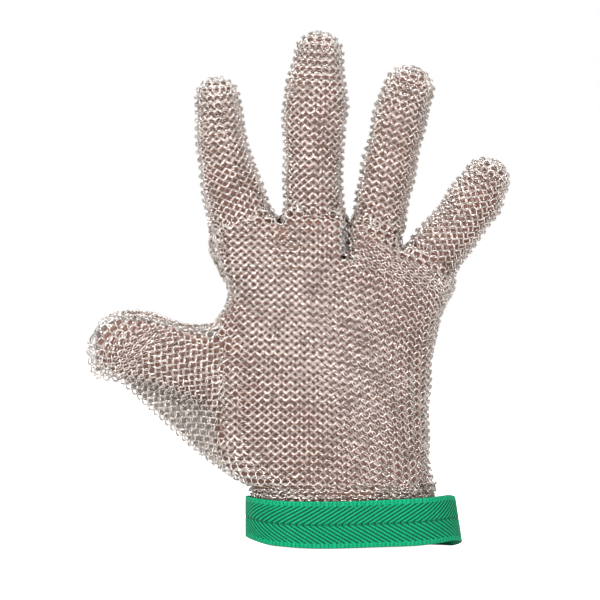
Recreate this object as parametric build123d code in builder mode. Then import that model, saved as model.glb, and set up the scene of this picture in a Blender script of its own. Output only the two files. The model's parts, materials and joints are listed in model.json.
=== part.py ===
"""Ring-mail cut-resistant glove: a five-finger mail glove with a textile wrist strap, shown palm forward.

Frame: +Z runs from the wrist opening to the middle fingertip, +X to the little finger's side, and the palm
faces -Y. The origin is the centre of the wrist opening, level with the strap's lower edge. Millimetres.

The mail is thousands of linked rings. Each zone of it is one thin-walled sleeve or panel here, with the hollow
for the hand left open. The zones meet at the finger joints, where the glove bends towards the palm, and each
meeting is an open V on the palm side, wide enough for the whole bend.
"""

import os
from collections import namedtuple
from math import radians, tan

from build123d import *

os.makedirs("parts", exist_ok=True)

# ---------------------------------------------------------------- driving dimensions
MAIL = 2.2  # thickness of the woven rings
GAP = 0.3  # clearance between zones that move apart
SPARE_ANGLE = 1.5  # degrees of room left past a joint's limit
CORNER = 0.56  # corner cut of a sleeve, as a share of its smaller half size

STRAP_WIDTH = 20.0  # woven tape
STRAP_THICKNESS = 1.2
STRAP_HALF_X = 45.5
STRAP_HALF_Y = 26.0
STRAP_CENTRE = (-0.5, 0.5)

HEM_Z = (6.0, 26.0)  # gathered rows of mail inside and above the strap
HEM_HALF_X = 39.15
HEM_HALF_Y = STRAP_HALF_Y - STRAP_THICKNESS - STRAP_CENTRE[1]
HEM_CENTRE_X = -5.15

# Sections of the hollow hand: height, left edge, right edge, half depth.
Section = namedtuple("Section", "z left right half_depth")
HAND = [
    Section(HEM_Z[1], -44.3, 34.0, HEM_HALF_Y),
    Section(35.0, -58.0, 32.5, 22.0),
    Section(62.0, -60.0, 32.0, 19.5),
    Section(92.0, -59.5, 34.5, 18.0),
    Section(118.0, -61.5, 45.0, 16.0),
    Section(140.0, -63.5, 47.0, 15.0),
]
HAND_CORNER = 0.55  # corner cut as a share of the half depth

# A joint: where its axis crosses the glove's middle plane, the sleeve's half width and half depth there, and how
# far the next zone swings towards the back and towards the palm, in degrees.
Joint = namedtuple("Joint", "x z half_width half_depth back palm")
Finger = namedtuple("Finger", "name joints tip")
FINGERS = [
    Finger(
        "index",
        [
            Joint(-48.0, 133.0, 13.2, 12.0, 8, 45),
            Joint(-54.3, 159.0, 11.8, 11.4, 0, 50),
            Joint(-57.0, 178.5, 11.0, 10.6, 0, 30),
        ],
        (-59.4, 197.5),
    ),
    Finger(
        "middle",
        [
            Joint(-18.0, 136.0, 12.9, 12.2, 8, 45),
            Joint(-17.2, 166.0, 13.0, 11.8, 0, 50),
            Joint(-16.2, 192.0, 13.2, 11.2, 0, 30),
        ],
        (-15.2, 216.8),
    ),
    Finger(
        "ring",
        [
            Joint(8.3, 132.0, 12.0, 11.8, 8, 45),
            Joint(14.0, 158.5, 11.6, 11.2, 0, 50),
            Joint(19.0, 181.0, 11.4, 10.6, 0, 30),
        ],
        (22.6, 202.2),
    ),
    Finger(
        "little",
        [
            Joint(30.5, 118.5, 12.0, 11.2, 8, 45),
            Joint(43.0, 134.2, 11.6, 10.6, 0, 50),
            Joint(50.6, 147.6, 11.4, 10.0, 0, 30),
        ],
        (58.0, 163.6),
    ),
]
THUMB_ROOT = Joint(-55.5, 63.0, 28.0, 15.5, 5, 35)  # its axis is upright
THUMB_JOINT = Joint(-89.0, 78.8, 16.4, 13.0, 0, 45)
THUMB_TIP = (-111.0, 84.8)

# A closed end, from its joint to its tip: share of the length, share of the joint's size.
TIP_SHAPE = [(0.58, 0.97), (0.84, 0.8), (1.0, 0.45)]

# Press stud on the back of the wrist. Heights are measured out of the band's outer face.
SNAP_X = 13.0
FLANGE = 0.8
POST_HEAD_R = 5.0
BARREL_R = 1.6
BARREL_PLAY = 0.05
STUD_R = 5.2
NIPPLE_R = 2.2
NIPPLE_TALL = 1.9
SOCKET_R = 5.4
SOCKET_BORE_R = NIPPLE_R + 0.1
SOCKET_TALL = 2.1
SOCKET_ABOVE_FLANGE = 0.3
CAP_R = 6.3
CAP_TALL = 2.0

# The strap's outer end: sewn down at its anchor, free from there to its tip.
TAIL_FOOT = GAP  # inner face of the free part at its foot
TAIL_RAISED = FLANGE + SOCKET_ABOVE_FLANGE + SOCKET_TALL  # and at the press stud
TAIL_FOOT_X = -12.0
TAIL_FLAT_X = (6.5, 19.5)
TAIL_TIP_X = 31.0
ANCHOR_LENGTH = 7.5

THREAD_R = 0.45  # of the bars across the anchor

# A row of stitches along the band's upper edge holds the hem.
HEM_THREAD_R = 0.3
HEM_STITCH_LONG = 2.0
HEM_STITCH_PITCH = 3.4
HEM_STITCHES = 11
HEM_STITCH_BELOW_EDGE = 1.8
FAR = 60.0  # longer than anything that a cut has to pass
BACKWARD = Vector(0, 1, 0)


# ---------------------------------------------------------------- helpers
def direction(start, end):
    """From one point of the glove's middle plane to another."""
    return Vector(end[0] - start[0], 0, end[1] - start[1]).normalized()


def octagon(half_width, half_depth, cut):
    """Corners of a rectangle with its corners cut off at 45 degrees."""
    w, d, c = half_width, half_depth, cut
    return [(w, c - d), (w, d - c), (w - c, d), (c - w, d), (-w, d - c), (-w, c - d), (c - w, -d), (w - c, -d)]


def sleeve_outline(centre, along, half_width, half_depth):
    """The section of a sleeve, square to its run."""
    across = BACKWARD.cross(along)
    with BuildSketch(Plane(origin=centre, x_dir=across, z_dir=along)) as outline:
        Polygon(*octagon(half_width, half_depth, CORNER * min(half_width, half_depth)), align=None)
    return outline.sketch


def swing_space(joint, along, towards_tip, reach=FAR):
    """What one side of a joint leaves free: everything past it, and its half of the V that the bend needs."""
    sign = 1 if towards_tip else -1
    palm_rise = FAR * tan(radians(joint.palm / 2 + SPARE_ANGLE))
    back_rise = FAR * tan(radians(joint.back / 2 + SPARE_ANGLE))
    corners = [
        (0, -sign * GAP / 2),
        (-FAR, -sign * (GAP / 2 + palm_rise)),
        (-FAR, sign * 2 * FAR),
        (FAR, sign * 2 * FAR),
        (FAR, -sign * (GAP / 2 + back_rise)),
    ]
    across = BACKWARD.cross(along)
    with BuildPart(mode=Mode.PRIVATE) as space:
        with BuildSketch(Plane(origin=(joint.x, 0, joint.z), x_dir=BACKWARD, z_dir=across)) as side:
            Polygon(*corners, align=None)
        extrude(side.sketch, amount=reach, both=True)
    return space.part


def save(part, label):
    part.label = label
    export_step(part, f"parts/{label}.step")


# ---------------------------------------------------------------- finger and thumb sleeves
def sleeve(label, start, end, start_along, end_along):
    """A zone open at both ends, from one joint to the next."""
    way = direction((start.x, start.z), (end.x, end.z))
    length = (Vector(end.x, 0, end.z) - Vector(start.x, 0, start.z)).length
    overrun = start.half_depth  # the swing spaces cut the ends back to shape
    widen = (end.half_width - start.half_width) * overrun / length
    deepen = (end.half_depth - start.half_depth) * overrun / length
    low = Vector(start.x, 0, start.z) - way * overrun
    high = Vector(end.x, 0, end.z) + way * overrun
    with BuildPart() as zone:
        for wall, mode in ((0, Mode.ADD), (MAIL, Mode.SUBTRACT)):
            first = sleeve_outline(low, way, start.half_width - widen - wall, start.half_depth - deepen - wall)
            last = sleeve_outline(high, way, end.half_width + widen - wall, end.half_depth + deepen - wall)
            loft([first, last], ruled=True, mode=mode)
        add(swing_space(start, start_along, towards_tip=False), mode=Mode.SUBTRACT)
        add(swing_space(end, end_along, towards_tip=True), mode=Mode.SUBTRACT)
    save(zone.part, label)


def tip_sleeve(label, start, tip):
    """The closed end of a finger."""
    way = direction((start.x, start.z), tip)
    root = Vector(start.x, 0, start.z)
    length = (Vector(tip[0], 0, tip[1]) - root).length
    with BuildPart() as zone:
        for wall, mode in ((0, Mode.ADD), (MAIL, Mode.SUBTRACT)):
            outlines = []
            for along_share, size_share in [(-0.5, 1.0)] + TIP_SHAPE:
                centre = root + way * (length - wall) * along_share
                half_width = start.half_width * size_share - wall
                half_depth = start.half_depth * size_share - wall
                outlines.append(sleeve_outline(centre, way, half_width, half_depth))
            loft(outlines, ruled=True, mode=mode)
        add(swing_space(start, way, towards_tip=False), mode=Mode.SUBTRACT)
    save(zone.part, label)


for finger in FINGERS:
    knuckle, middle, last = finger.joints
    lower_way = direction((knuckle.x, knuckle.z), (middle.x, middle.z))
    middle_way = direction((middle.x, middle.z), (last.x, last.z))
    tip_way = direction((last.x, last.z), finger.tip)
    sleeve(f"{finger.name}_lower_sleeve", knuckle, middle, lower_way, middle_way)
    sleeve(f"{finger.name}_middle_sleeve", middle, last, middle_way, tip_way)
    tip_sleeve(f"{finger.name}_tip_sleeve", last, finger.tip)

OUTWARD = Vector(-1, 0, 0)
THUMB_WAY = direction((THUMB_JOINT.x, THUMB_JOINT.z), THUMB_TIP)
THUMB_OVERRUN = 5.0

with BuildPart() as thumb_base_sleeve:
    root_centre = Vector(THUMB_ROOT.x, 0, THUMB_ROOT.z)
    joint_centre = Vector(THUMB_JOINT.x, 0, THUMB_JOINT.z)
    for wall, mode in ((0, Mode.ADD), (MAIL, Mode.SUBTRACT)):
        root_half = (THUMB_ROOT.half_width - wall, THUMB_ROOT.half_depth - wall)
        joint_half = (THUMB_JOINT.half_width - wall, THUMB_JOINT.half_depth - wall)
        outlines = [
            sleeve_outline(root_centre, OUTWARD, *root_half),
            sleeve_outline(joint_centre, THUMB_WAY, *joint_half),
            sleeve_outline(joint_centre + THUMB_WAY * THUMB_OVERRUN, THUMB_WAY, *joint_half),
        ]
        loft(outlines, ruled=True, mode=mode)
    add(swing_space(THUMB_ROOT, OUTWARD, towards_tip=False), mode=Mode.SUBTRACT)
    add(swing_space(THUMB_JOINT, THUMB_WAY, towards_tip=True), mode=Mode.SUBTRACT)
save(thumb_base_sleeve.part, "thumb_base_sleeve")

tip_sleeve("thumb_tip_sleeve", THUMB_JOINT, THUMB_TIP)


# ---------------------------------------------------------------- hand: palm and back panels
def hand_panel(label, kept_side):
    """The palm's or the back's half of the hollow hand, cut back at the five finger openings."""
    with BuildPart() as panel:
        for wall, mode in ((0, Mode.ADD), (MAIL, Mode.SUBTRACT)):
            outlines = []
            for section in HAND:
                centre = (section.left + section.right) / 2
                half_width = (section.right - section.left) / 2 - wall
                half_depth = section.half_depth - wall
                with BuildSketch(Plane(origin=(centre, 0, section.z)), mode=Mode.PRIVATE) as outline:
                    Polygon(*octagon(half_width, half_depth, HAND_CORNER * half_depth), align=None)
                outlines.append(outline.sketch)
            loft(outlines, ruled=True, mode=mode)
        for finger in FINGERS:
            knuckle, middle = finger.joints[:2]
            way = direction((knuckle.x, knuckle.z), (middle.x, middle.z))
            opening = swing_space(knuckle, way, towards_tip=True, reach=knuckle.half_width + 6)
            add(opening, mode=Mode.SUBTRACT)
        opening = swing_space(THUMB_ROOT, OUTWARD, towards_tip=True, reach=THUMB_ROOT.half_width + 1)
        add(opening, mode=Mode.SUBTRACT)
        split(bisect_by=Plane.XZ, keep=kept_side)
    save(panel.part, label)


hand_panel("palm_panel", Keep.TOP)
hand_panel("back_panel", Keep.BOTTOM)

# ---------------------------------------------------------------- wrist: hem of mail, strap band
with BuildPart() as wrist_hem:
    with BuildSketch(Plane.XY.offset(HEM_Z[0])):
        with Locations((HEM_CENTRE_X, 0)):
            SlotOverall(2 * HEM_HALF_X, 2 * HEM_HALF_Y)
            SlotOverall(2 * (HEM_HALF_X - MAIL), 2 * (HEM_HALF_Y - MAIL), mode=Mode.SUBTRACT)
    extrude(amount=HEM_Z[1] - HEM_Z[0])
save(wrist_hem.part, "wrist_hem")

BAND_OUTSIDE = STRAP_CENTRE[1] + STRAP_HALF_Y
# The press stud's own plane: x towards the thumb, y up, z out of the back of the wrist.
BAND_FACE = Plane(origin=(SNAP_X, BAND_OUTSIDE, STRAP_WIDTH / 2), x_dir=(-1, 0, 0), z_dir=(0, 1, 0))
TAIL_FACE = BAND_FACE.offset(TAIL_RAISED)

with BuildPart() as wrist_strap:
    with BuildSketch():
        with Locations(STRAP_CENTRE):
            SlotOverall(2 * STRAP_HALF_X, 2 * STRAP_HALF_Y)
            inside_x = STRAP_HALF_X - STRAP_THICKNESS
            inside_y = STRAP_HALF_Y - STRAP_THICKNESS
            SlotOverall(2 * inside_x, 2 * inside_y, mode=Mode.SUBTRACT)
    extrude(amount=STRAP_WIDTH)
    with BuildSketch(BAND_FACE):
        Circle(BARREL_R + BARREL_PLAY)
    extrude(amount=-2 * STRAP_THICKNESS, mode=Mode.SUBTRACT)
save(wrist_strap.part, "wrist_strap")

# ---------------------------------------------------------------- the strap's outer end
with BuildPart() as strap_anchor:
    with BuildSketch():
        anchor_corner = (TAIL_FOOT_X - GAP, BAND_OUTSIDE)
        with Locations(anchor_corner):
            Rectangle(ANCHOR_LENGTH, STRAP_THICKNESS, align=(Align.MAX, Align.MIN))
    extrude(amount=STRAP_WIDTH)
save(strap_anchor.part, "strap_anchor")

with BuildPart() as strap_tail:
    with BuildSketch():
        with BuildLine():
            inner_face = [
                (TAIL_FOOT_X, BAND_OUTSIDE + TAIL_FOOT),
                (TAIL_FLAT_X[0], BAND_OUTSIDE + TAIL_RAISED),
                (TAIL_FLAT_X[1], BAND_OUTSIDE + TAIL_RAISED),
                (TAIL_TIP_X, BAND_OUTSIDE + TAIL_RAISED - 1),
            ]
            outer_face = [(x, y + STRAP_THICKNESS) for x, y in reversed(inner_face)]
            Polyline(*inner_face, *outer_face, close=True)
        make_face()
    extrude(amount=STRAP_WIDTH)
    tip_corners = strap_tail.edges().filter_by(Axis.Y).group_by(Axis.X)[-1]
    fillet(tip_corners, radius=5)
    with BuildSketch(TAIL_FACE):
        Circle(BARREL_R + BARREL_PLAY)
    extrude(amount=2 * STRAP_THICKNESS, mode=Mode.SUBTRACT)
save(strap_tail.part, "strap_tail")

# Thread: two bars across the anchor of the outer end, and the row that holds the hem to the band.
with BuildPart() as anchor_stitches:
    for share in (0.25, 0.75):
        stitch_x = TAIL_FOOT_X - GAP - share * ANCHOR_LENGTH
        bar_centre = (stitch_x, BAND_OUTSIDE + STRAP_THICKNESS, STRAP_WIDTH / 2)
        with BuildSketch(Plane(origin=bar_centre, x_dir=(-1, 0, 0), z_dir=(0, 1, 0))):
            Rectangle(2 * THREAD_R, STRAP_WIDTH - 4)
        extrude(amount=THREAD_R)
save(anchor_stitches.part, "anchor_stitches")

with BuildPart() as hem_stitches:
    front = STRAP_CENTRE[1] - STRAP_HALF_Y
    row_centre = (0, front, STRAP_WIDTH - HEM_STITCH_BELOW_EDGE)
    with BuildSketch(Plane(origin=row_centre, x_dir=(1, 0, 0), z_dir=(0, -1, 0))):
        with GridLocations(HEM_STITCH_PITCH, 0, HEM_STITCHES, 1):
            SlotOverall(HEM_STITCH_LONG, 2 * HEM_THREAD_R, rotation=90)
    extrude(amount=HEM_THREAD_R)
save(hem_stitches.part, "hem_stitches")

# ---------------------------------------------------------------- press stud
with BuildPart() as snap_post:
    with BuildSketch(BAND_FACE.offset(-STRAP_THICKNESS)):
        Circle(POST_HEAD_R)
    extrude(amount=-FLANGE)
    with BuildSketch(BAND_FACE.offset(-STRAP_THICKNESS)):
        Circle(BARREL_R)
    extrude(amount=STRAP_THICKNESS)
save(snap_post.part, "snap_post")

with BuildPart() as snap_stud:
    with BuildSketch(BAND_FACE):
        Circle(STUD_R)
    extrude(amount=FLANGE)
    with BuildSketch(BAND_FACE.offset(FLANGE)):
        Circle(NIPPLE_R)
    extrude(amount=NIPPLE_TALL)
    fillet(snap_stud.edges().sort_by(Axis.Y)[-1], radius=0.6)
save(snap_stud.part, "snap_stud")

with BuildPart() as snap_socket:
    with BuildSketch(TAIL_FACE):
        Circle(SOCKET_R)
        Circle(SOCKET_BORE_R, mode=Mode.SUBTRACT)
    extrude(amount=-SOCKET_TALL)
save(snap_socket.part, "snap_socket")

with BuildPart() as snap_cap:
    with BuildSketch(TAIL_FACE.offset(STRAP_THICKNESS)):
        Circle(CAP_R)
    extrude(amount=CAP_TALL)
    fillet(snap_cap.edges().sort_by(Axis.Y)[-1], radius=0.7 * CAP_TALL)
    with BuildSketch(TAIL_FACE.offset(STRAP_THICKNESS)):
        Circle(BARREL_R)
    extrude(amount=-STRAP_THICKNESS)
save(snap_cap.part, "snap_cap")
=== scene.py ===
"""Ring-mail glove: every ring is modelled, laid in rows over the hand, fingers and thumb.

Most rings pass through about four neighbours. Some of the thumb's crowd together and pass through many more, and
a few rings pass through none.

Lengths are millimetres until a mesh is made, and metres in Blender.
"""

import json
import math

import bmesh
import bpy
import numpy as np
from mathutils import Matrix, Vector
from mathutils.kdtree import KDTree

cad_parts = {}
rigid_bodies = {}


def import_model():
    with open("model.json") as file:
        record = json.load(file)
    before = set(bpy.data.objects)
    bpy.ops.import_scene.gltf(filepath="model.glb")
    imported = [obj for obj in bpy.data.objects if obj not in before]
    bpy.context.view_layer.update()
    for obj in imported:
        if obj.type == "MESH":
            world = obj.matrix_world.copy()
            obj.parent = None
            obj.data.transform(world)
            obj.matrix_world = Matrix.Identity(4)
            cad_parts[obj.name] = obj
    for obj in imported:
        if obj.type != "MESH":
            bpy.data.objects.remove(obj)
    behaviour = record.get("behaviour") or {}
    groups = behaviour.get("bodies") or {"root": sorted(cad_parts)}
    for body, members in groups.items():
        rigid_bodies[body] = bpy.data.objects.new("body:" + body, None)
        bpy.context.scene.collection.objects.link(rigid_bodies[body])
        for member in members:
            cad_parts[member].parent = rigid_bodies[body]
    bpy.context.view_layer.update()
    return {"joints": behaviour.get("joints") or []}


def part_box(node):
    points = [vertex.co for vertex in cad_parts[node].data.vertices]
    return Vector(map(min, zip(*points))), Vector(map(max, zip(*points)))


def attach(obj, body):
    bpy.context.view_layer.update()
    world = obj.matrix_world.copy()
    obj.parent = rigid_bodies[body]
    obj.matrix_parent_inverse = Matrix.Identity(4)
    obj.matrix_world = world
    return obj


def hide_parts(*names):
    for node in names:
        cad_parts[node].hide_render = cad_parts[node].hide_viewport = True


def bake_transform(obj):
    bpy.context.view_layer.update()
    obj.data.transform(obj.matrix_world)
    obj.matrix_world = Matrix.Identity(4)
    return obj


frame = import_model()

MM = 0.001
RANDOM = np.random.default_rng(7)

# ---------------------------------------------------------------- driving values
RING_RADIUS = 1.74  # to the middle of the wire
WIRE_RADIUS = 0.235
RING_STEPS = 16
WIRE_STEPS = 6
ROW_PITCH = 1.58  # from one row of rings to the next
COLUMN_PITCH = 3.75  # from one ring to the next in its row
HEM_COLUMNS = 58
HEM_PITCH = 1.15  # rows are pushed together at the hem
RING_TILT = math.radians(34)  # rows lean to and fro by this
NEAREST_RINGS = 1.5  # a ring of another tube is left out if it's nearer than this
WIDEST_GAP = 2.02  # a place further than this from every ring gets one more
MAIL_HALF = 1.1  # from the middle of the mail to its outside
SHEET_DEPTH = MAIL_HALF + 1.25  # from the mail's outside to the dark sheet of painted shade inside it

HEM_FOOT_Z, HAND_FOOT_Z = 7.5, 27.0  # the hem's rows run from one to the other, and the hand's begin there
PALM_TOP_Z, BACK_TOP_Z = 164.0, 143.0  # the palm's rows run downhill, so their left ends start higher
DEEPEST = 26.0  # nothing is further than this from the glove's middle plane
COLUMN_X = -12.0  # a column of rings runs up the hand here
THUMB_SEAM_X = -55.6  # the thumb's rings lie left of this
THUMB_START, THUMB_WAY = np.array([-38.0, 0, 20]), np.array([-0.74, 0, 0.673])  # along its lower edge
THUMB_LENGTH = 104.0
ROOT_SHIFT = {"index": 4.0, "middle": 3.0, "ring": 4.0, "little": 4.0}  # from a knuckle's axis to the finger's root
ROOT_HALF_WIDTH = 15.0
BURIED = 7.0  # rings of a row that start deeper than this inside the glove are left out
NUDGE = 0.05  # for measuring how the surface slopes

# Where the glove bends: joint places in mm, by name.
JOINTS = {j["name"]: np.array(j["pos_m"]) / MM for j in frame["joints"]}


def smooth_curve(at, points):
    """Heights of a smooth curve through (place, height) points, at the places asked for."""
    x, y = np.array(points, float).T
    at = np.clip(np.asarray(at, float), x[0], x[-1])
    slope = np.gradient(y, x)
    i = np.clip(np.searchsorted(x, at, side="right") - 1, 0, len(x) - 2)
    h = x[i + 1] - x[i]
    t = (at - x[i]) / h
    a = (1 + 2 * t) * (1 - t) ** 2 * y[i] + t * t * (3 - 2 * t) * y[i + 1]
    return a + h * t * (1 - t) * ((1 - t) * slope[i] - t * slope[i + 1])


def lengths_along(points):
    """How far along a line each of its points is."""
    return np.concatenate([[0], np.cumsum(np.linalg.norm(np.diff(points, axis=0), axis=1))])


def places_along(points, run, at):
    """A line's points at these lengths along it. run is what lengths_along gives for the line."""
    return np.stack([np.interp(at, run, points[:, i]) for i in range(3)], axis=-1)


def unit(vectors):
    """Vectors made one long."""
    return vectors / np.linalg.norm(vectors, axis=-1, keepdims=True)


# ---------------------------------------------------------------- the glove's surface
# The hand's sections by height: left edge, right edge, half depth. These are the mail's outside.
HAND_LEFT = [(6, -44.3), (26, -45.8), (31, -52), (36, -57.5), (60, -60), (88, -60), (93, -59.5), (99, -56),
             (106, -53), (116, -56.5), (126, -60.5), (141, -63.8)]
HAND_RIGHT = [(6, 34), (26, 33.4), (31, 32.6), (48, 31.4), (72, 32.4), (86, 33.8), (96, 36.4), (106, 40.2),
              (116, 45), (126, 48), (141, 50)]
HAND_DEPTH = [(6, 24.3), (26, 23.8), (36, 21.5), (62, 19.5), (92, 18), (118, 16), (141, 14)]
HAND_TOP = [(-75, 124), (-60, 131), (-48, 137), (-33.6, 141.5), (-18, 143), (-2, 141), (10, 136), (20.6, 127.5),
            (34, 120), (60, 104)]
HAND_SQUARENESS = 2.6
TOP_ROUNDING = 9.0

# A finger's tube: points of its middle line and its half width there, and how much thinner it is than wide.
FINGERS = {
    "index": ([(-40, 112, 13.5), (-45.5, 128, 14.4), (-50.6, 147, 13.6), (-53.6, 157, 12.5), (-55.5, 167, 11.6),
               (-57.0, 178, 10.7), (-57.8, 188.3, 9.6)], 1.10),
    "middle": ([(-17, 112, 13), (-17.4, 130, 13.6), (-17.6, 150, 13.0), (-17.4, 168, 13.0), (-16.6, 184, 14.2),
                (-16.2, 192, 13.2), (-15.4, 206.2, 10.6)], 1.14),
    "ring": ([(2, 112, 12), (8, 132, 12.6), (12.0, 149, 11.6), (14.6, 162, 11.8), (17.0, 172, 11.2),
              (19.8, 184, 11.6), (22.3, 191.6, 10.8)], 1.08),
    "little": ([(14, 98, 12), (28, 115.5, 12.6), (36.5, 127.5, 11.8), (45.6, 138.5, 11.7), (50.8, 146.5, 12.0),
                (55.0, 153.4, 10.2)], 1.12),
}
THUMB_CORE = ([(-44, 66, 17), (-60, 74, 16.5), (-76, 79, 14.5), (-88.5, 82.6, 14.6), (-96.2, 83.8, 14.1)], 1.12)
# The thumb's outline, by place along X: upper and lower edge.
THUMB_TOP = [(-111.5, 85), (-108.5, 91.5), (-102.5, 96.4), (-94, 98.6), (-84, 96.6), (-71, 92.6), (-60, 93.2),
             (-50, 95)]
THUMB_LOW = [(-111.5, 79), (-109.8, 73), (-106, 70.4), (-98.5, 69.2), (-95, 66.2), (-84, 55.6), (-73, 46),
             (-62, 36.2), (-50, 29)]
SKIRT_DEPTH = [(-111.5, 1.5), (-103, 3.0), (-84, 3.4), (-66, 7.0), (-56, 15.0), (-50, 17.5)]
SKIRT_SHEET_LOW = [(-110, 74.5), (-97, 71.2), (-89, 62.2), (-73, 48.4), (-62, 38.6), (-50, 31.4)]
BLEND_SHARPNESS = 0.55  # how tightly the tubes melt together, per mm

# Creases on palm and back: from, to, half width, depth.
CREASES = [
    ((-33, 144), (-29, 124), 2.8, 6.0),
    ((-1.5, 144), (-4, 122), 2.7, 6.5),
    ((21, 129), (14, 114), 3.0, 3.6),
    ((-58, 92), (-55.5, 44), 1.5, 1.2),
    ((28, 40), (29.5, 24), 2.5, 1.4),
]


def tube_distance(points, tube):
    """Roughly how far points lie outside a tube with round sections that narrows along its middle line."""
    line, thinness = tube
    squeezed = points * [1, thinness, 1]
    nearest = np.full(len(points), 1e9)
    for (x0, z0, r0), (x1, z1, r1) in zip(line, line[1:]):
        start, run = np.array([x0, 0, z0]), np.array([x1 - x0, 0, z1 - z0])
        t = np.clip((squeezed - start) @ run / (run @ run), 0, 1)
        away = np.linalg.norm(squeezed - start - t[:, None] * run, axis=1)
        nearest = np.minimum(nearest, away - (r0 + t * (r1 - r0)))
    return nearest


def hand_distance(points):
    x, y, z = points.T
    left, right = smooth_curve(z, HAND_LEFT), smooth_curve(z, HAND_RIGHT)
    across = (x - (left + right) / 2) / ((right - left) / 2)
    deep = y / smooth_curve(z, HAND_DEPTH)
    size = (np.abs(across) ** HAND_SQUARENESS + np.abs(deep) ** HAND_SQUARENESS) ** (1 / HAND_SQUARENESS)
    from_middle = np.hypot(x - (left + right) / 2, y)
    side = from_middle * (1 - 1 / np.maximum(size, 0.05))
    above = z - smooth_curve(x, HAND_TOP)
    rounded = np.hypot(np.maximum(side + TOP_ROUNDING, 0), np.maximum(above + TOP_ROUNDING, 0)) - TOP_ROUNDING
    return np.where(above > -TOP_ROUNDING, rounded, side)


def skirt_distance(points):
    """The loose mail below the thumb: flat, with its two layers close together."""
    x, y, z = points.T
    top, low = smooth_curve(x, THUMB_TOP), smooth_curve(x, THUMB_LOW)
    middle, half = (top + low) / 2, (top - low) / 2
    depth = smooth_curve(x, SKIRT_DEPTH)
    size = (np.abs((z - middle) / half) ** 3 + np.abs(y / depth) ** 3) ** (1 / 3)
    away = np.hypot(z - middle, y) * (1 - 1 / np.maximum(size, 0.05))
    return np.maximum(away, np.maximum(THUMB_TOP[0][0] - x, x + 48))


def surface_distance(points):
    """Zero on the glove's outside, negative within. The tubes melt into each other."""
    parts = [hand_distance(points), skirt_distance(points), tube_distance(points, THUMB_CORE)]
    parts += [tube_distance(points, tube) for tube in FINGERS.values()]
    parts = np.array(parts)
    least = parts.min(axis=0)
    melted = np.exp(-BLEND_SHARPNESS * (parts - least)).sum(axis=0)
    return least - np.log(melted) / BLEND_SHARPNESS + folds(points)


def folds(points):
    """Creases and slack: how far the surface sinks in at these points."""
    x, y, z = points.T
    sink = np.zeros(len(points))
    for (x0, z0), (x1, z1), width, depth in CREASES:
        run = np.array([x1 - x0, z1 - z0])
        t = np.clip(((x - x0) * run[0] + (z - z0) * run[1]) / (run @ run), 0, 1)
        away = np.hypot(x - x0 - t * run[0], z - z0 - t * run[1])
        fade = np.sin(np.pi * (0.15 + 0.7 * t))  # shallower towards both ends
        sink += np.where(y < 0, depth, 0.6 * depth) * np.exp(-((away / width) ** 2)) * fade
    slack = np.sin(0.21 * x + 0.13 * z + 1.0) * np.sin(0.17 * z - 0.09 * x) * 0.45
    return sink + slack


def onto_surface(points, rounds=5):
    """Moves points to the middle of the mail, and gives its outward directions there."""
    for _ in range(rounds):
        here, slope = distance_and_slope(points)
        points = points - ((here + MAIL_HALF) / np.maximum((slope**2).sum(axis=1), 0.2))[:, None] * slope
    return points, unit(distance_and_slope(points)[1])


def distance_and_slope(points):
    """The surface's distance at these points, and how fast it grows along X, Y and Z."""
    here = surface_distance(points)
    return here, np.stack([(surface_distance(points + n) - here) / NUDGE for n in np.eye(3) * NUDGE], axis=1)


# ---------------------------------------------------------------- rows of rings
def around(loop, shift, count=None, pitch=None):
    """Places along a closed loop: count of them evenly, or both ways from its start by pitch."""
    closed = np.vstack([loop, loop[:1]])
    run = lengths_along(closed)
    if count:
        at = ((np.arange(count) + shift) * run[-1] / count) % run[-1]
    else:
        each_way = math.ceil(run[-1] / 2 / pitch)
        at = (np.arange(-each_way, each_way + 1) + shift) * pitch
        at = at[(at > -run[-1] / 2 + 0.3 * pitch) & (at < run[-1] / 2 - 0.3 * pitch)] % run[-1]
    return places_along(closed, run, at)


def drift(points):
    """Moves rows along the surface by a millimetre or two, as mail that is pulled about by the hand inside it."""
    x, y, z = points.T
    side = np.where(y < 0, 1.0, -0.7)
    across = side * 1.5 * np.sin(0.055 * z + 0.03 * x) * np.sin(0.04 * x + 0.8)
    along = side * 1.0 * np.sin(0.045 * x + 0.02 * z + 0.5) * np.sin(0.035 * z)
    return points + np.stack([across, 0 * x, along], axis=1)


def sway(points):
    """How far rings lean over sideways, as a share of their radius: more where the mail is pulled to one side."""
    x, _, z = points.T
    return 0.22 * np.clip((x + 5) / 25, 0, 1) + 0.08 * np.sin(0.2 * x + 0.1 * z)


def half_depth(line):
    """How far in front of these points of the middle plane the mail's middle lies, or 0 outside the glove."""
    near, far = np.zeros(len(line)), np.full(len(line), DEEPEST)
    for _ in range(9):
        middle = (near + far) / 2
        within = surface_distance(line - np.stack([0 * middle, middle, 0 * middle], axis=1)) < -MAIL_HALF
        near, far = np.where(within, middle, near), np.where(within, far, middle)
    return np.where(near > 0.06, near, 0)


def section(line):
    """The part of a line of the middle plane that is inside the glove, and the mail's half depth along it."""
    half = half_depth(line)
    inside = np.flatnonzero(half > 0)
    if not len(inside):
        return line[:0], half[:0]
    run = np.arange(max(inside[0] - 1, 0), min(inside[-1] + 2, len(line)))
    return line[run], half[run]


def droop(x):
    """How far the palm's rows have sunk at x: right of the middle the mail is turned, and its rows run downhill."""
    return 3.8 * np.log1p(np.exp((x + 6) / 10))


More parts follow.
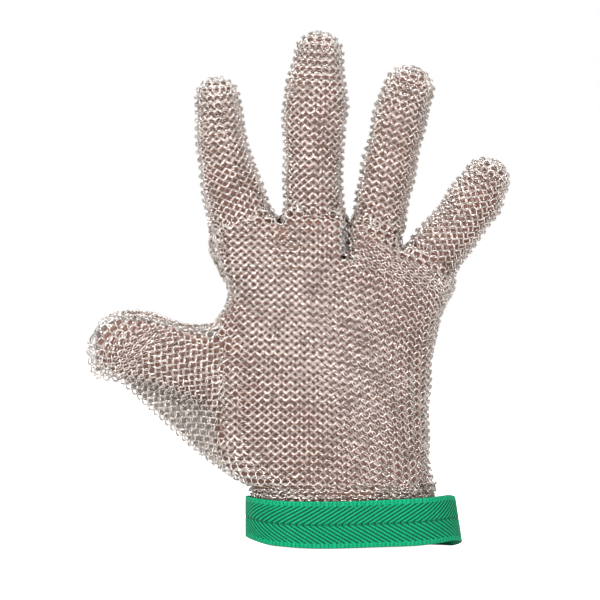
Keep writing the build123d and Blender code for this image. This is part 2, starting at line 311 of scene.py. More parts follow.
def hand_rows(side):
    """Rings of the palm (side -1) or the back (side 1): rows from the hem to the finger roots."""
    rows = []
    x = np.arange(-70.0, 66.0)
    for k, z in enumerate(np.arange(HAND_FOOT_Z, PALM_TOP_Z if side < 0 else BACK_TOP_Z, ROW_PITCH)):
        level = z - droop(x) if side < 0 else np.full(len(x), z)
        line, half = section(np.stack([x, 0 * x, level], axis=1))
        if len(line) < 4:
            continue
        line[:, 1] = side * half
        run = lengths_along(line)
        origin = np.interp(COLUMN_X, line[:, 0], run) + 0.5 * (k % 2) * COLUMN_PITCH
        at = np.arange(origin % COLUMN_PITCH, run[-1], COLUMN_PITCH)
        places = drift(places_along(line, run, at))
        places = places[places[:, 2] > HAND_FOOT_Z - 1]
        if len(places) > 2:
            rows.append((k, places))
    return rows


def hem_rows():
    """Rings of the hem: rows pushed together, gathered in small waves inside and just above the strap."""
    low, high = (np.array(corner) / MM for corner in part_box("wrist_hem"))
    middle, half = (low + high) / 2, (high - low) / 2
    turn = np.linspace(0, 2 * np.pi, 360, endpoint=False) - np.pi / 2
    rows = []
    for k, z in enumerate(np.arange(HEM_FOOT_Z, HAND_FOOT_Z, HEM_PITCH)):
        gather = 0.9 * np.sin(9 * turn + 0.9 * k) * np.sin(0.5 * k + 3 * turn)
        radius = half[1] - MAIL_HALF - 0.6 + gather
        x, y = np.cos(turn) * radius, np.sin(turn) * radius
        x += middle[0] + np.sign(np.cos(turn)) * (half[0] - half[1]) * np.minimum(1, np.abs(np.cos(turn)) * 8)
        loop = np.stack([x, y, np.full(len(x), z)], axis=1)
        rows.append((k, around(loop, count=HEM_COLUMNS, shift=0.5 * (k % 2))))
    return rows


def along_line(points, run, s):
    """A line's point at s along it, and its direction there, taken over a few mm."""
    here, ahead, behind = (places_along(points, run, at) for at in (s, s + 4, s - 4))
    return here, unit(ahead - behind)


def tube_loops(tube, inset, pitch, steps, first=0.0, over=np.pi / 2, short=0.0):
    """Loops around a finger or the thumb, square to its middle line, and over its domed end.

    inset is how far they lie below the outside, over how far they go over the end, in radians, and short how
    many mm before that they stop. Gives each loop, its radius, and how far it leans over the end.
    """
    line, thinness = tube
    points = np.array([(x, 0, z) for x, z, _ in line], float)
    radii = np.array([r for _, _, r in line], float) - inset
    run, end_radius = lengths_along(points), radii[-1]
    turn = np.linspace(0, 2 * np.pi, steps, endpoint=False) + first
    for s in np.arange(0, run[-1] + end_radius * over - short, pitch):
        centre, way = along_line(points, run, min(s, run[-1]))
        lean = max(0.0, (s - run[-1]) / end_radius)
        radius = np.interp(s, run, radii) * math.cos(lean)
        centre = centre + way * end_radius * math.sin(lean)
        across, deep = np.cross([0, 1, 0], way), np.array([0, 1 / thinness, 0])
        yield centre + radius * (np.cos(turn)[:, None] * across + np.sin(turn)[:, None] * deep), radius, lean


def tube_rows(tube, columns):
    """Rings of a finger: rows square to its middle line, and over its domed end."""
    rows = []
    loops = tube_loops(tube, MAIL_HALF, ROW_PITCH, steps=120, first=-np.pi / 2, short=0.8)
    for k, (loop, radius, lean) in enumerate(loops):
        count = columns if lean < 0.45 else max(3, round(6 * radius / COLUMN_PITCH))
        rows.append((k, around(loop, count=count, shift=0.5 * (k % 2))))
    return rows


def thumb_rows():
    """Rings of the thumb: rows square to its lower edge, which they are counted from."""
    across = np.array([-THUMB_WAY[2], 0, THUMB_WAY[0]])
    across *= np.sign(across[2])
    rows = []
    for k, s in enumerate(np.arange(0, THUMB_LENGTH, ROW_PITCH)):
        line, half = section(THUMB_START + s * THUMB_WAY + np.arange(-26.0, 74)[:, None] * across)
        stays = line[:, 0] < -48
        line, half = line[stays], half[stays]
        if len(line) < 2:
            continue
        front, back = line.copy(), line.copy()
        front[:, 1], back[:, 1] = -half, half
        rows.append((k, around(np.vstack([front, back[::-1]]), pitch=COLUMN_PITCH, shift=0.5 * (k % 2))))
    return rows


# ---------------------------------------------------------------- which rings stay
def root_plane(finger):
    """A finger's root: a point of its middle line a little past the knuckle, and its direction there."""
    knuckle, middle = JOINTS[f"{finger}_knuckle_bend"], JOINTS[f"{finger}_middle_bend"]
    way = unit(middle - knuckle)
    return knuckle + ROOT_SHIFT[finger] * way, way


def from_root(places, finger):
    """How far places lie beyond a finger's root, and aside of its middle line."""
    root, way = root_plane(finger)
    return (places - root) @ way, np.abs((places - root) @ np.cross([0, 1, 0], way))


class Mail:
    """Rings gathered so far: places, axes, and the tube that each came from."""

    def __init__(self):
        self.places, self.axes, self.source = [], [], []

    def add(self, places, axes, source):
        self.places.append(places)
        self.axes.append(axes)
        self.source += [source] * len(places)

    def lay_flat(self, rows, source):
        """Puts rows of rings just where they are, facing out from their level loops."""
        for k, row in rows:
            around_way = np.roll(row, -1, axis=0) - np.roll(row, 1, axis=0)
            outward = unit(np.cross(around_way, [0, 0, 1]))
            lean = (RING_TILT if k % 2 else -RING_TILT) * 1.3
            axes = math.cos(lean) * outward + math.sin(lean) * np.array([0, 0, 1])
            axes = unit(axes + RANDOM.normal(0, 0.12, axes.shape))
            self.add(row + RANDOM.normal(0, 0.12, row.shape), axes, source)

    def lay(self, rows, source, keep):
        """Puts rows of rings on the surface, where keep says so and no other tube's ring is too close."""
        taken = np.vstack(self.places) if self.places else np.zeros((0, 3))
        for k, row in rows:
            row = row[surface_distance(row) > -BURIED]
            if not len(row):
                continue
            loop_way = np.gradient(row, axis=0) if len(row) > 1 else np.array([[1.0, 0, 0]])
            places, outward = onto_surface(row)
            stays = keep(places) & (np.abs(surface_distance(places) + MAIL_HALF) < 0.4)
            if len(taken):
                gap = np.sqrt(((places[:, None, :] - taken[None]) ** 2).sum(axis=2)).min(axis=1)
                stays &= gap > NEAREST_RINGS
            along = np.cross(outward, loop_way)
            along /= np.maximum(np.linalg.norm(along, axis=1), 1e-9)[:, None]
            lean = RING_TILT if k % 2 else -RING_TILT
            axes = math.cos(lean) * outward + math.sin(lean) * along
            axes += sway(places)[:, None] * np.cross(along, outward)
            axes = unit(axes + RANDOM.normal(0, 0.05, axes.shape))
            places = places + RANDOM.normal(0, 0.04, places.shape)
            self.add(places[stays], axes[stays], source)


def in_hand(places, reach=-0.4):
    """True for places right of the thumb's seam and less than reach mm beyond every finger's root."""
    stays = np.ones(len(places), bool)
    for finger in FINGERS:
        beyond, aside = from_root(places, finger)
        stays &= ~((beyond > reach) & (aside < ROOT_HALF_WIDTH))
    return stays & ~((places[:, 0] < THUMB_SEAM_X - 0.4) & (places[:, 2] > 30) & (places[:, 2] < 97))


mail = Mail()
for finger, tube in FINGERS.items():
    mean_width = 2 * np.mean([r for _, _, r in tube[0][1:]]) - 2 * MAIL_HALF
    columns = round(np.pi * mean_width * (1 + 1 / tube[1]) / 2 / COLUMN_PITCH)
    mail.lay(tube_rows(tube, columns), finger, lambda p: from_root(p, finger)[0] > 0)
mail.lay(thumb_rows(), "thumb", lambda p: p[:, 0] < THUMB_SEAM_X)
for side in (-1, 1):
    mail.lay(hand_rows(side), "hand", in_hand)
for side in (-1, 1):  # once more, for the places between the fingers that their own rows don't reach
    mail.lay(hand_rows(side), "hand", lambda p: in_hand(p, reach=5))
mail.lay_flat(hem_rows(), "hem")


# ---------------------------------------------------------------- the dark sheet inside the rings, painted shade
# The sheet is painted shade: its dark, skin-tinted colour darkens the rings' holes where the left-out hand would be.
class Sheet:
    """A sheet just inside the rings, so that the eye doesn't look through both sides of the glove at once."""

    def __init__(self):
        self.points, self.quads, self.source, self.count = [], [], [], 0

    def add(self, loops, source):
        """Joins loops of equal length. What stands too high is sunk, and quads that bridge a crease are left out."""
        points = np.vstack(loops)
        for _ in range(4):
            here, slope = distance_and_slope(points)
            excess = np.maximum(here + SHEET_DEPTH, 0) / np.maximum((slope**2).sum(axis=1), 0.2)
            points = points - excess[:, None] * slope
        half = half_depth(points * [1, 0, 1])
        room = np.maximum(half - (SHEET_DEPTH - MAIL_HALF), 0.3)
        points[:, 1] = np.where(half > 0, np.clip(points[:, 1], -room, room), points[:, 1])
        rows, per = len(loops), len(loops[0])
        i, j = np.meshgrid(np.arange(rows - 1), np.arange(per), indexing="ij")
        corners = [i * per + j, i * per + (j + 1) % per, (i + 1) * per + (j + 1) % per, (i + 1) * per + j]
        quads = np.stack(corners, axis=2).reshape(-1, 4)
        quads = quads[surface_distance(points[quads].mean(axis=1)) < -MAIL_HALF - 0.2]
        self.quads.append(self.count + quads)
        self.points.append(points)
        self.source += [source] * len(quads)
        self.count += len(points)


def hand_sheet(steps=96):
    """Loops from the wrist to the finger roots, closing like a dome between the fingers."""
    turn = np.linspace(0, 2 * np.pi, steps, endpoint=False)
    power = 2 / HAND_SQUARENESS
    loops = []
    for share in np.linspace(0, 1, 64):
        z = np.full(steps, 8 + 120 * share)
        for _ in range(4):
            left, right = smooth_curve(z, HAND_LEFT), smooth_curve(z, HAND_RIGHT)
            half = (right - left) / 2 - SHEET_DEPTH
            x = (left + right) / 2 + half * np.sign(np.cos(turn)) * np.abs(np.cos(turn)) ** power
            z = 8 + (smooth_curve(x, HAND_TOP) - 11) * share
        above = np.maximum(z - smooth_curve(x, HAND_TOP) + 3 + TOP_ROUNDING, 0) / TOP_ROUNDING
        deep = (smooth_curve(z, HAND_DEPTH) - SHEET_DEPTH) * np.sqrt(np.maximum(1 - above**2, 0.0004))
        loops.append(np.stack([x, deep * np.sign(np.sin(turn)) * np.abs(np.sin(turn)) ** power, z], axis=1))
    return loops


def tube_sheet(tube):
    """Loops along a finger or the thumb, and over its domed end."""
    return [loop for loop, _, _ in tube_loops(tube, SHEET_DEPTH, pitch=1.5, steps=40, over=1.54)]


def skirt_sheet():
    """Loops across the loose mail around the thumb, nearly to its edges, for a grey sheet of painted shade."""
    loops = []
    for x in np.arange(-109.0, -49, 1.5):
        low, high = smooth_curve(x, SKIRT_SHEET_LOW), smooth_curve(x, THUMB_TOP) - 1.8
        z = np.linspace(low, high, 24)
        front = np.stack([np.full(24, x), np.full(24, -0.4), z], axis=1)
        loops.append(np.vstack([front, (front * [1, -1, 1])[::-1]]))
    return loops


sheet = Sheet()
for finger, tube in FINGERS.items():
    sheet.add(tube_sheet(tube), finger)
sheet.add(tube_sheet(THUMB_CORE), "thumb")
sheet.add(skirt_sheet(), "skirt")
sheet.add(hand_sheet(), "hand")
SHEET_POINTS, SHEET_QUADS = np.vstack(sheet.points), np.vstack(sheet.quads)


def fill_gaps():
    """Adds rings where rows of different tubes meet and leave a gap."""
    x, z = (grid.ravel() for grid in np.meshgrid(np.arange(-66.0, 60, 1.0), np.arange(HAND_FOOT_Z + 0.5, 160, 1.0)))
    flat = np.stack([x, 0 * x, z], axis=1)
    half = half_depth(flat)
    flat, half = flat[half > 0.4], half[half > 0.4]
    both = [flat - half[:, None] * [0, 1, 0], flat + half[:, None] * [0, 1, 0]]
    places, outward = onto_surface(np.vstack([*both, SHEET_POINTS[SHEET_QUADS].mean(axis=1)]), rounds=4)
    above_hem = places[:, 2] > HAND_FOOT_Z
    places, outward = places[above_hem], outward[above_hem]
    tree = KDTree(len(mail.source))
    for n, place in enumerate(np.vstack(mail.places)):
        tree.insert(place, n)
    tree.balance()
    added = []
    for n in np.flatnonzero(np.abs(surface_distance(places) + MAIL_HALF) < 0.6):
        if tree.find(places[n])[2] > WIDEST_GAP:
            if all(np.linalg.norm(places[n] - places[m]) > 0.9 * WIDEST_GAP for m in added):
                added.append(n)
    lean = RANDOM.choice([-RING_TILT, RING_TILT], len(added))[:, None]
    places, outward = places[added], outward[added]
    axes = unit(np.cos(lean) * outward + np.sin(lean) * np.cross(outward, [1, 0, 0]))
    owners = np.where(places[:, 0] < THUMB_SEAM_X, "thumb", "hand").astype(object)
    for finger in reversed(FINGERS):
        beyond, aside = from_root(places, finger)
        owners[(beyond > 0) & (aside < ROOT_HALF_WIDTH)] = finger
    for place, axis, owner in zip(places, axes, owners):
        mail.add(place[None], axis[None], owner)


fill_gaps()
RING_PLACES, RING_AXES = np.vstack(mail.places), np.vstack(mail.axes)
RINGS = len(RING_PLACES)

# Rings and the sheet's quads are shared out between the pieces in one go: rings first.
PLACES = np.vstack([RING_PLACES, SHEET_POINTS[SHEET_QUADS].mean(axis=1)])
SOURCE = np.array(mail.source + sheet.source)


# ---------------------------------------------------------------- materials
def material(name, colour, rough, metal=0.0):
    mat = bpy.data.materials.new(name)
    mat.use_nodes = True
    shader = mat.node_tree.nodes["Principled BSDF"]
    shader.inputs["Base Color"].default_value = (*colour, 1)
    shader.inputs["Roughness"].default_value = rough
    shader.inputs["Metallic"].default_value = metal
    return mat, shader


def noise(mat, scale, detail=3.0):
    """Noise through the object, at a scale in metres."""
    nodes, links = mat.node_tree.nodes, mat.node_tree.links
    place = nodes.new("ShaderNodeTexCoord")
    texture = nodes.new("ShaderNodeTexNoise")
    texture.inputs["Scale"].default_value = 1 / scale
    texture.inputs["Detail"].default_value = detail
    links.new(place.outputs["Object"], texture.inputs["Vector"])
    return texture.outputs["Fac"]


def spread(mat, value, low, high):
    """Stretches a 0 to 1 value to the range from low to high."""
    node = mat.node_tree.nodes.new("ShaderNodeMapRange")
    node.inputs["From Min"].default_value = 0.3
    node.inputs["From Max"].default_value = 0.7
    node.inputs["To Min"].default_value = low
    node.inputs["To Max"].default_value = high
    mat.node_tree.links.new(value, node.inputs["Value"])
    return node.outputs["Result"]


def bump(mat, shader, value, height, strength=1.0):
    node = mat.node_tree.nodes.new("ShaderNodeBump")
    node.inputs["Distance"].default_value = height
    node.inputs["Strength"].default_value = strength
    mat.node_tree.links.new(value, node.inputs["Height"])
    mat.node_tree.links.new(node.outputs["Normal"], shader.inputs["Normal"])


def steel(name, colour, rough=(0.18, 0.34)):
    """Drawn stainless wire: bright, with faint drawing marks and patches of wear."""
    mat, shader = material(name, colour, 0.24, 1.0)
    mat.node_tree.links.new(spread(mat, noise(mat, 0.004), *rough), shader.inputs["Roughness"])
    bump(mat, shader, noise(mat, 0.00025), 0.00001, 0.3)
    return mat


def yarn(name, light, dark, woven):
    """Dyed polyester yarn. In woven tape, painted shade darkens the hollows between threads and leaves the rib tops
    light.
    """
    mat, shader = material(name, light, 0.6)
    nodes, links = mat.node_tree.nodes, mat.node_tree.links
    mix = nodes.new("ShaderNodeMix")
    mix.data_type = "RGBA"
    mix.inputs["A"].default_value = (*dark, 1)
    mix.inputs["B"].default_value = (*light, 1)
    patches_and_shade = spread(mat, noise(mat, 0.0016, 5), 0.7, 1.0)
    if woven:
        relief_shade = nodes.new("ShaderNodeAttribute")
        relief_shade.attribute_name = "relief_shade"
        both = nodes.new("ShaderNodeMath")
        both.operation = "MULTIPLY"
        links.new(spread(mat, relief_shade.outputs["Fac"], 0.0, 1.0), both.inputs[0])
        links.new(patches_and_shade, both.inputs[1])
        patches_and_shade = both.outputs["Value"]
    links.new(patches_and_shade, mix.inputs["Factor"])
    links.new(mix.outputs["Result"], shader.inputs["Base Color"])
    links.new(spread(mat, noise(mat, 0.0008), 0.5, 0.75), shader.inputs["Roughness"])
    bump(mat, shader, noise(mat, 0.0003), 0.00006, 0.5)
    shader.inputs["Specular IOR Level"].default_value = 0.12
    shader.inputs["Sheen Weight"].default_value = 0.02
    return mat


# The tape's dark colour is painted shade for the hollows of its weave.
CLOTH = yarn("green_tape", (0.004, 0.40, 0.19), (0.0004, 0.07, 0.025), woven=True)
THREAD = yarn("green_thread", (0.004, 0.30, 0.14), (0.001, 0.17, 0.07), woven=False)
NICKEL = steel("nickel", (0.70, 0.69, 0.66), (0.12, 0.26))
# The steels' warm tint is a painted reflection of skin; the three tones themselves are the wire's own, shared out per
# ring at random.
STEELS = [
    steel("steel_bright", (0.88, 0.82, 0.78)),
    steel("steel_mid", (0.75, 0.69, 0.655)),
    steel("steel_dull", (0.58, 0.53, 0.50)),
]
STEEL_SHARES = [0.35, 0.45, 0.2]


def shade(name, colour):
    """The sheet inside the rings: soft and dark, painted shade."""
    mat, shader = material(name, colour, 0.8)
    mat.node_tree.links.new(spread(mat, noise(mat, 0.003), 0.65, 0.95), shader.inputs["Roughness"])
    bump(mat, shader, noise(mat, 0.0006), 0.0001, 0.6)
    return mat


# Painted shade colours: brown and skin-tinted inside the glove, grey under the loose thumb mail.
SHADES = [shade("inner_shade", (0.28, 0.15, 0.115)), shade("inner_grey_shade", (0.36, 0.34, 0.32))]


# ---------------------------------------------------------------- mail meshes
def ring_mesh(places, axes):
    """Corners and faces of rings: a torus at each place, square to its axis."""
    a = (np.arange(RING_STEPS) * 2 * np.pi / RING_STEPS)[:, None]
    b = (np.arange(WIRE_STEPS) * 2 * np.pi / WIRE_STEPS)[None, :]
    out = RING_RADIUS + WIRE_RADIUS * np.cos(b)
    local = np.stack([out * np.cos(a), out * np.sin(a), WIRE_RADIUS * np.sin(b) + 0 * a], axis=2).reshape(-1, 3)
    helper = np.where(np.abs(axes[:, 1:2]) < 0.9, [[0, 1, 0]], [[1, 0, 0]])
    side = unit(np.cross(helper, axes))
    turned = np.stack([side, np.cross(axes, side), axes], axis=1)
    co = places[:, None, :] + local @ turned
    i, j = np.meshgrid(np.arange(RING_STEPS), np.arange(WIRE_STEPS), indexing="ij")
    i2, j2 = (i + 1) % RING_STEPS, (j + 1) % WIRE_STEPS
    quads = np.stack([i, i2, i2, i], axis=2) * WIRE_STEPS + np.stack([j, j, j2, j2], axis=2)
    faces = quads.reshape(-1, 4) + RING_STEPS * WIRE_STEPS * np.arange(len(places))[:, None, None]
    return co.reshape(-1, 3), faces.reshape(-1, 4)


def mail_piece(name, chosen, *stands_for):
    """One piece of mail: its rings, and its part of the sheet inside them. Returns it and each corner's anchor."""
    rings = np.flatnonzero(chosen[:RINGS])
    co, faces = ring_mesh(RING_PLACES[rings], RING_AXES[rings])
    used, renamed = np.unique(SHEET_QUADS[chosen[RINGS:]], return_inverse=True)
    inner = renamed.reshape(-1, 4) + len(co)
    anchors = np.vstack([np.repeat(RING_PLACES[rings], RING_STEPS * WIRE_STEPS, axis=0), SHEET_POINTS[used]])
    piece = mesh_object(name, np.vstack([co, SHEET_POINTS[used]]) * MM, np.vstack([faces, inner]))
    for mat in STEELS + SHADES:
        piece.data.materials.append(mat)
    wires = RANDOM.choice(len(STEELS), len(rings), p=STEEL_SHARES)
    # The loose thumb mail's quads take the grey painted shade, and the rest take the skin-tinted one.
    shades = len(STEELS) + (SOURCE[RINGS:][chosen[RINGS:]] == "skirt")
    slots = np.concatenate([np.repeat(wires, RING_STEPS * WIRE_STEPS), shades])
    piece.data.polygons.foreach_set("material_index", slots.astype(np.int32))
    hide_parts(*stands_for)
    return piece, anchors


def mesh_object(name, co, faces):
    me = bpy.data.meshes.new(name)
    me.vertices.add(len(co))
    me.vertices.foreach_set("co", co.astype(np.float32).ravel())
    me.loops.add(faces.size)
    me.loops.foreach_set("vertex_index", faces.astype(np.int32).ravel())
    me.polygons.add(len(faces))
    me.polygons.foreach_set("loop_start", np.arange(0, faces.size, faces.shape[1], dtype=np.int32))
    me.polygons.foreach_set("use_smooth", np.ones(len(faces), bool))
    me.update(calc_edges=True)
    ob = bpy.data.objects.new(name, me)
    bpy.context.scene.collection.objects.link(ob)
    return ob


def bending_mail(name, chosen, near, far, start, end, *stands_for):
    """A piece of mail at a joint, with its transform baked into its mesh."""
    piece, anchors = mail_piece(name, chosen, *stands_for)
    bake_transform(piece)


left_over = np.ones(len(PLACES), bool)


def claim(chosen):
    """Takes rings and quads for one piece, so that nothing is in two."""
    chosen = chosen & left_over
    left_over[chosen] = False
    return chosen


KNUCKLE_BELOW, KNUCKLE_ABOVE, KNUCKLE_ASIDE = 18.0, 13.0, 15.5  # the hand's mail around a knuckle, given to that finger's root piece
for finger in FINGERS:
    knuckle, middle, last = (JOINTS[f"{finger}_{part}_bend"] for part in ("knuckle", "middle", "end"))
    lower_way, middle_way = unit(middle - knuckle), unit(last - middle)
    lower_half, middle_half = (knuckle + middle) / 2, (middle + last) / 2
    across = np.cross([0, 1, 0], lower_way)
    beyond_first = (PLACES - lower_half) @ lower_way > 0
    beyond_second = (PLACES - middle_half) @ middle_way > 0
    own = SOURCE == finger
    chosen = claim(own & beyond_second & beyond_first)
    bending_mail(f"{finger}_end_mail", chosen, f"{finger}_middle", f"{finger}_end", middle_half,
                 last + (last - middle_half), f"{finger}_tip_sleeve")
    chosen = claim(own & beyond_first)
    bending_mail(f"{finger}_middle_mail", chosen, f"{finger}_lower", f"{finger}_middle", lower_half,
                 middle_half, f"{finger}_middle_sleeve")
    near = ((PLACES - knuckle) @ lower_way > -KNUCKLE_BELOW) & (np.abs((PLACES - knuckle) @ across) < KNUCKLE_ASIDE)
    chosen = claim(own | ((SOURCE == "hand") & near))
    bending_mail(f"{finger}_root_mail", chosen, "hand", f"{finger}_lower", knuckle - KNUCKLE_BELOW * lower_way,
                 knuckle + KNUCKLE_ABOVE * lower_way, f"{finger}_lower_sleeve")

hem = (SOURCE == "hem") | ((SOURCE == "hand") & (PLACES[:, 2] < HAND_FOOT_Z - 1))
piece, _ = mail_piece("hem_mail", claim(hem), "wrist_hem")
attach(piece, "hand")

# Places at the thumb's root and at its end joint, where its mail is split into pieces.
THUMB_ROOT_BEND = np.array([-43.0, 0, 63]), np.array([-68.0, 0, 63])
THUMB_END_BEND = np.array([-77.0, 0, 75]), np.array([-101.0, 0, 82])
thumb = np.isin(SOURCE, ["thumb", "skirt"])
chosen = claim(thumb & (PLACES[:, 0] < THUMB_END_BEND[0][0] + 1))
bending_mail("thumb_end_mail", chosen, "thumb_base", "thumb_end", *THUMB_END_BEND, "thumb_tip_sleeve")
beside_thumb = (PLACES[:, 0] < THUMB_ROOT_BEND[0][0]) & (PLACES[:, 2] > HAND_FOOT_Z) & (PLACES[:, 2] < 99)
thumb |= (SOURCE == "hand") & beside_thumb
for side, is_side in (("palm", PLACES[:, 1] < 0), ("back", PLACES[:, 1] >= 0)):
    bending_mail(f"thumb_{side}_mail", claim(thumb & is_side), "hand", "thumb_base", *THUMB_ROOT_BEND,
                 "thumb_base_sleeve")

for side, is_side, node in (("palm", PLACES[:, 1] < 0, "palm_panel"), ("back", PLACES[:, 1] >= 0, "back_panel")):
    for band, low_z, high_z in (("lower", 0, 64), ("upper", 64, 200)):
        chosen = claim(is_side & (PLACES[:, 2] >= low_z) & (PLACES[:, 2] < high_z))
        piece, _ = mail_piece(f"{side}_{band}_mail", chosen, node)
        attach(piece, "hand")

# ---------------------------------------------------------------- strap
TAPE_THICKNESS = 1.2
RIB_PITCH = 2.7  # between twill ribs, along the tape
RIB_HEIGHT = 0.42
YARN_PITCH = 1.35
SELVAGE = 2.2
SELVAGE_PITCH = 1.7


def twill(along, across, width, curl):
    """Height of the herringbone, from 0 to 1: ribs that meet at a spine in the middle, and a cord at each edge."""
    from_spine = np.abs(across - width / 2)
    swept = along - (1.65 - 0.5 * curl) * from_spine - 0.085 * curl * from_spine**2
    rib = np.abs(np.sin(np.pi * swept / RIB_PITCH))
    dots = 0.5 + 0.5 * np.cos(2 * np.pi * (along + 0.45 * from_spine) / YARN_PITCH)
    woven = np.maximum(rib**0.9, 0.75 * dots)
    edge = np.abs(np.sin(np.pi * along / SELVAGE_PITCH)) ** 0.6
    cord = 0.62 + 0.38 * edge * np.abs(np.sin(np.pi * (from_spine - width / 2) / (SELVAGE / 2))) ** 0.4
    at_edge = np.clip((from_spine - (width / 2 - SELVAGE)) / 0.3, 0, 1)
    at_spine = np.exp(-((from_spine / 0.45) ** 2))
    woven = woven * (1 - at_spine) + (0.66 + 0.12 * np.sin(2 * np.pi * along / YARN_PITCH)) * at_spine
    return woven * (1 - at_edge) + cord * at_edge


def tape(name, path, lower, upper, closed=False, lean=0.0, curl=0.0, tip=0.0, steps=64):
    """A woven tape on edge. path is its middle line from above, and lower and upper its edges' heights there.

    lean shifts the upper edge along X, curl bends the ribs, and tip rounds the corners of the far end.
    """
    run = lengths_along(path)
    way = unit(np.roll(path, -1, axis=0) - np.roll(path, 1, axis=0) if closed else np.gradient(path, axis=0))
    outward = np.stack([way[:, 1], -way[:, 0]], axis=1)
    rounding = np.maximum(run - run[-1] + tip, 0)
    cut = tip - np.sqrt(np.maximum(tip**2 - rounding**2, 0))
    low, width = lower + cut, upper - lower - 2 * cut
    flat = np.linspace(0, 1, steps)
    loops, heights = [], []
    for face, order in ((1, flat), (-1, flat[::-1])):
        v = order[None, :] * width[:, None]
        edge = np.minimum(v, width[:, None] - v)
        height = twill(run[:, None] + 0.4 * (face < 0), cut[:, None] + v, (upper - lower)[:, None], curl)
        out = TAPE_THICKNESS / 2 * np.sqrt(np.clip(edge / 0.4, 0.05, 1)) + RIB_HEIGHT * (height - 0.7)
        xy = path[:, None, :] + face * out[:, :, None] * outward[:, None, :]
        xy[:, :, 0] += np.broadcast_to(lean, len(path))[:, None] * v / TAPE_WIDTH
        loops.append(np.concatenate([xy, (low[:, None] + v)[:, :, None]], axis=2))
        heights.append(height)
    co, heights = np.concatenate(loops, axis=1), np.concatenate(heights, axis=1)
    rows, per = co.shape[:2]
    i, j = np.meshgrid(np.arange(rows if closed else rows - 1), np.arange(per), indexing="ij")
    i2, j2 = (i + 1) % rows, (j + 1) % per
    faces = np.stack([i * per + j, i2 * per + j, i2 * per + j2, i * per + j2], axis=2).reshape(-1, 4)
    piece = mesh_object(name, co.reshape(-1, 3) * MM, faces)
    # Painted shade: the weave's height, sharpened, darkens the hollows through the tape's material.
    relief_shade = piece.data.attributes.new("relief_shade", "FLOAT", "POINT")
    relief_shade.data.foreach_set("value", (heights**2.5).astype(np.float32).ravel())
    if not closed:
        close_ends(piece, per, rows)
    piece.data.materials.append(CLOTH)
    return piece


def close_ends(piece, per, rows):
    """Fills an open tape's two cut ends."""
    mesh = bmesh.new()
    mesh.from_mesh(piece.data)
    mesh.verts.ensure_lookup_table()
    for first in (0, (rows - 1) * per):
        for j in range(per // 2 - 1):
            corners = [first + j, first + j + 1, first + per - 2 - j, first + per - 1 - j]
            mesh.faces.new([mesh.verts[n] for n in corners])
    bmesh.ops.recalc_face_normals(mesh, faces=mesh.faces)
    mesh.to_mesh(piece.data)
    mesh.free()


BAND_LOW, BAND_HIGH = (np.array(corner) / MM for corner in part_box("wrist_strap"))
BAND_MIDDLE, BAND_HALF = (BAND_LOW + BAND_HIGH) / 2, (BAND_HIGH - BAND_LOW) / 2
TAPE_WIDTH = BAND_HIGH[2] - BAND_LOW[2]


def band_path(count):
    """The strap's loop from above, counter-clockwise: straight at front and back, round at both ends."""
    radius = BAND_HALF[1] - TAPE_THICKNESS / 2
    straight = BAND_HALF[0] - BAND_HALF[1]
    total = 4 * straight + 2 * np.pi * radius
    s = np.arange(count) * total / count
    # Along the back, round the left end, along the front, round the right end.
    turn = np.clip((s - 2 * straight) / radius, 0, np.pi) + np.clip((s - 4 * straight) / radius - np.pi, 0, np.pi)
    x = straight - np.clip(s, 0, 2 * straight) + np.clip(s - 2 * straight - np.pi * radius, 0, 2 * straight)
    centre = np.stack([x, 0 * s], axis=1)
    return BAND_MIDDLE[:2] + centre + radius * np.stack([-np.sin(turn), np.cos(turn)], axis=1)


def band_edges(path):
    """Heights of the strap's lower and upper edge: on the front it rides up at both ends."""
    x = path[:, 0]
    front = np.clip(0.5 - (path[:, 1] - BAND_MIDDLE[1]) / BAND_HALF[1] + np.clip((-30 - x) / 10, 0, 1), 0, 1)
    low = smooth_curve(x, [(-46, 4.4), (-38, 2.0), (-27, 0.8), (10, 0.9), (32, 2.0), (45, 3.8)])
    high = smooth_curve(x, [(-46, 21.6), (-38, 20.7), (-10, 20.0), (10, 20.6), (30, 21.6), (45, 22.6)])
    return front * low, TAPE_WIDTH + front * (high - TAPE_WIDTH)


loop = band_path(760)
lower, upper = band_edges(loop)
right_end = np.clip((loop[:, 0] - 30) / 15, 0, 1)
left_end = np.clip((-20 - loop[:, 0]) / 25, 0, 1)
band = tape("strap_band", loop, lower, upper, closed=True, lean=-3.2 * right_end, curl=left_end[:, None])
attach(band, "hand")
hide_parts("wrist_strap")

# The strap's outer end: sewn down, then free, raised over the press stud.
ANCHOR_LOW, ANCHOR_HIGH = (np.array(corner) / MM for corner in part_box("strap_anchor"))
TAIL_LOW, TAIL_HIGH = (np.array(corner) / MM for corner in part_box("strap_tail"))
SNAP_LOW, SNAP_HIGH = (np.array(corner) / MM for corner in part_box("snap_cap"))
TAIL_RAISED_Y = SNAP_LOW[1] - TAPE_THICKNESS / 2
anchor_x = np.linspace(ANCHOR_HIGH[0], ANCHOR_LOW[0], 27)
anchor_path = np.stack([anchor_x, np.full(27, (ANCHOR_LOW[1] + ANCHOR_HIGH[1]) / 2)], axis=1)
anchor = tape("strap_anchor_tape", anchor_path, np.zeros(27), np.full(27, TAPE_WIDTH))
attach(anchor, "hand")
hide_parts("strap_anchor")
tail_x = np.linspace(TAIL_HIGH[0], TAIL_LOW[0] + 0.1, 140)
TAIL_FOOT_Y = TAIL_LOW[1] + TAPE_THICKNESS / 2
TAIL_RISE = [(TAIL_LOW[0], TAIL_FOOT_Y), (TAIL_LOW[0] + 6, TAIL_FOOT_Y + 0.8),
             (SNAP_LOW[0] - 2, TAIL_RAISED_Y - 0.25), (SNAP_LOW[0], TAIL_RAISED_Y), (SNAP_HIGH[0], TAIL_RAISED_Y),
             (TAIL_HIGH[0], TAIL_RAISED_Y - 1.0)]
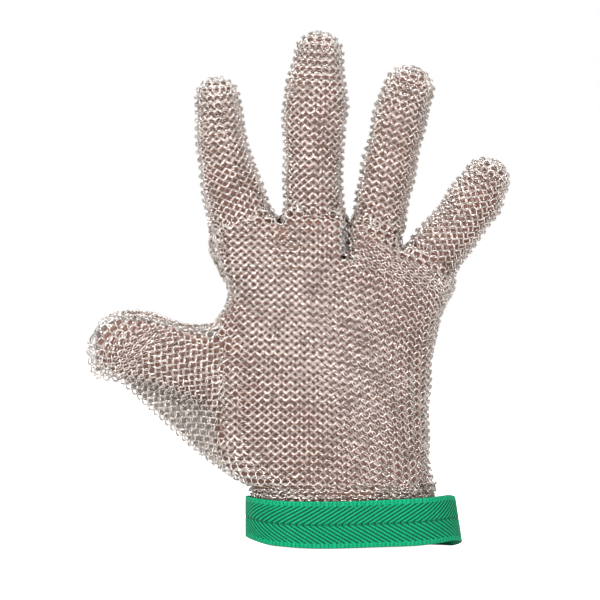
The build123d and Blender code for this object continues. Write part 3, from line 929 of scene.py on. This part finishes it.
tail_path = np.stack([tail_x, smooth_curve(tail_x, TAIL_RISE)], axis=1)[::-1]
tail = tape("strap_tail_tape", tail_path, np.zeros(140), np.full(140, TAPE_WIDTH), tip=5.0)
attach(tail, "strap_end")
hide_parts("strap_tail")

for node, mat in (("hem_stitches", THREAD), ("anchor_stitches", THREAD), ("snap_post", NICKEL), ("snap_stud", NICKEL),
                  ("snap_socket", NICKEL), ("snap_cap", NICKEL)):
    shown = next(ob for ob in bpy.data.objects if ob.type == "MESH" and ob.name.split(".")[0] == node)
    for slot in shown.material_slots:
        slot.material = mat


# ---------------------------------------------------------------- set
def area_light(name, place, aim, size, power):
    light = bpy.data.lights.new(name, "AREA")
    light.shape = "RECTANGLE"
    light.size, light.size_y = size
    light.energy = power
    ob = bpy.data.objects.new(name, light)
    ob.location = place
    ob.rotation_euler = (Vector(aim) - Vector(place)).to_track_quat("-Z", "Y").to_euler()
    bpy.context.scene.collection.objects.link(ob)


GLOVE_MIDDLE = Vector((-0.024, 0, 0.104))
area_light("key", (-0.5, -0.9, 0.85), GLOVE_MIDDLE, (0.45, 0.45), 16)
area_light("fill", (0.9, -0.8, 0.3), GLOVE_MIDDLE, (0.5, 0.7), 5)
area_light("top", (0.0, 0.3, 1.1), GLOVE_MIDDLE, (0.8, 0.5), 5)

floor = bpy.data.meshes.new("floor")
floor.from_pydata([(-6, -3, 0), (6, -3, 0), (6, 8, 0), (-6, 8, 0)], [], [(0, 1, 2, 3)])
floor_object = bpy.data.objects.new("floor", floor)
bpy.context.scene.collection.objects.link(floor_object)
floor_mat, floor_shader = material("floor_white", (0.85, 0.85, 0.85), 0.8)
floor_shader.inputs["Emission Color"].default_value = (1, 1, 1, 1)
floor_ray = floor_mat.node_tree.nodes.new("ShaderNodeLightPath")
floor_mat.node_tree.links.new(floor_ray.outputs["Is Camera Ray"], floor_shader.inputs["Emission Strength"])
floor.materials.append(floor_mat)

world = bpy.data.worlds.new("studio")
world.use_nodes = True
seen = world.node_tree.nodes["Background"]
seen.inputs["Strength"].default_value = 1.0
lighting = world.node_tree.nodes.new("ShaderNodeBackground")
lighting.inputs["Color"].default_value = (1, 0.98, 0.96, 1)
lighting.inputs["Strength"].default_value = 0.42
seen.inputs["Color"].default_value = (1, 1, 1, 1)
choice = world.node_tree.nodes.new("ShaderNodeMixShader")
ray = world.node_tree.nodes.new("ShaderNodeLightPath")
world.node_tree.links.new(ray.outputs["Is Camera Ray"], choice.inputs["Fac"])
world.node_tree.links.new(lighting.outputs["Background"], choice.inputs[1])
world.node_tree.links.new(seen.outputs["Background"], choice.inputs[2])
world.node_tree.links.new(choice.outputs["Shader"], world.node_tree.nodes["World Output"].inputs["Surface"])
bpy.context.scene.view_settings.view_transform = "Standard"
bpy.context.scene.world = world

camera = bpy.data.cameras.new("camera")
camera_object = bpy.data.objects.new("camera", camera)
DISTANCE = 2.4
VIEW_WIDTH = 0.252  # what the picture is across, at the glove
camera.sensor_width = 36
camera.lens = 36 * DISTANCE / VIEW_WIDTH
camera_object.location = (-0.0231, -DISTANCE, 0.1037)
camera_object.rotation_euler = (math.radians(90), 0, 0)
bpy.context.scene.collection.objects.link(camera_object)
bpy.context.scene.camera = camera_object
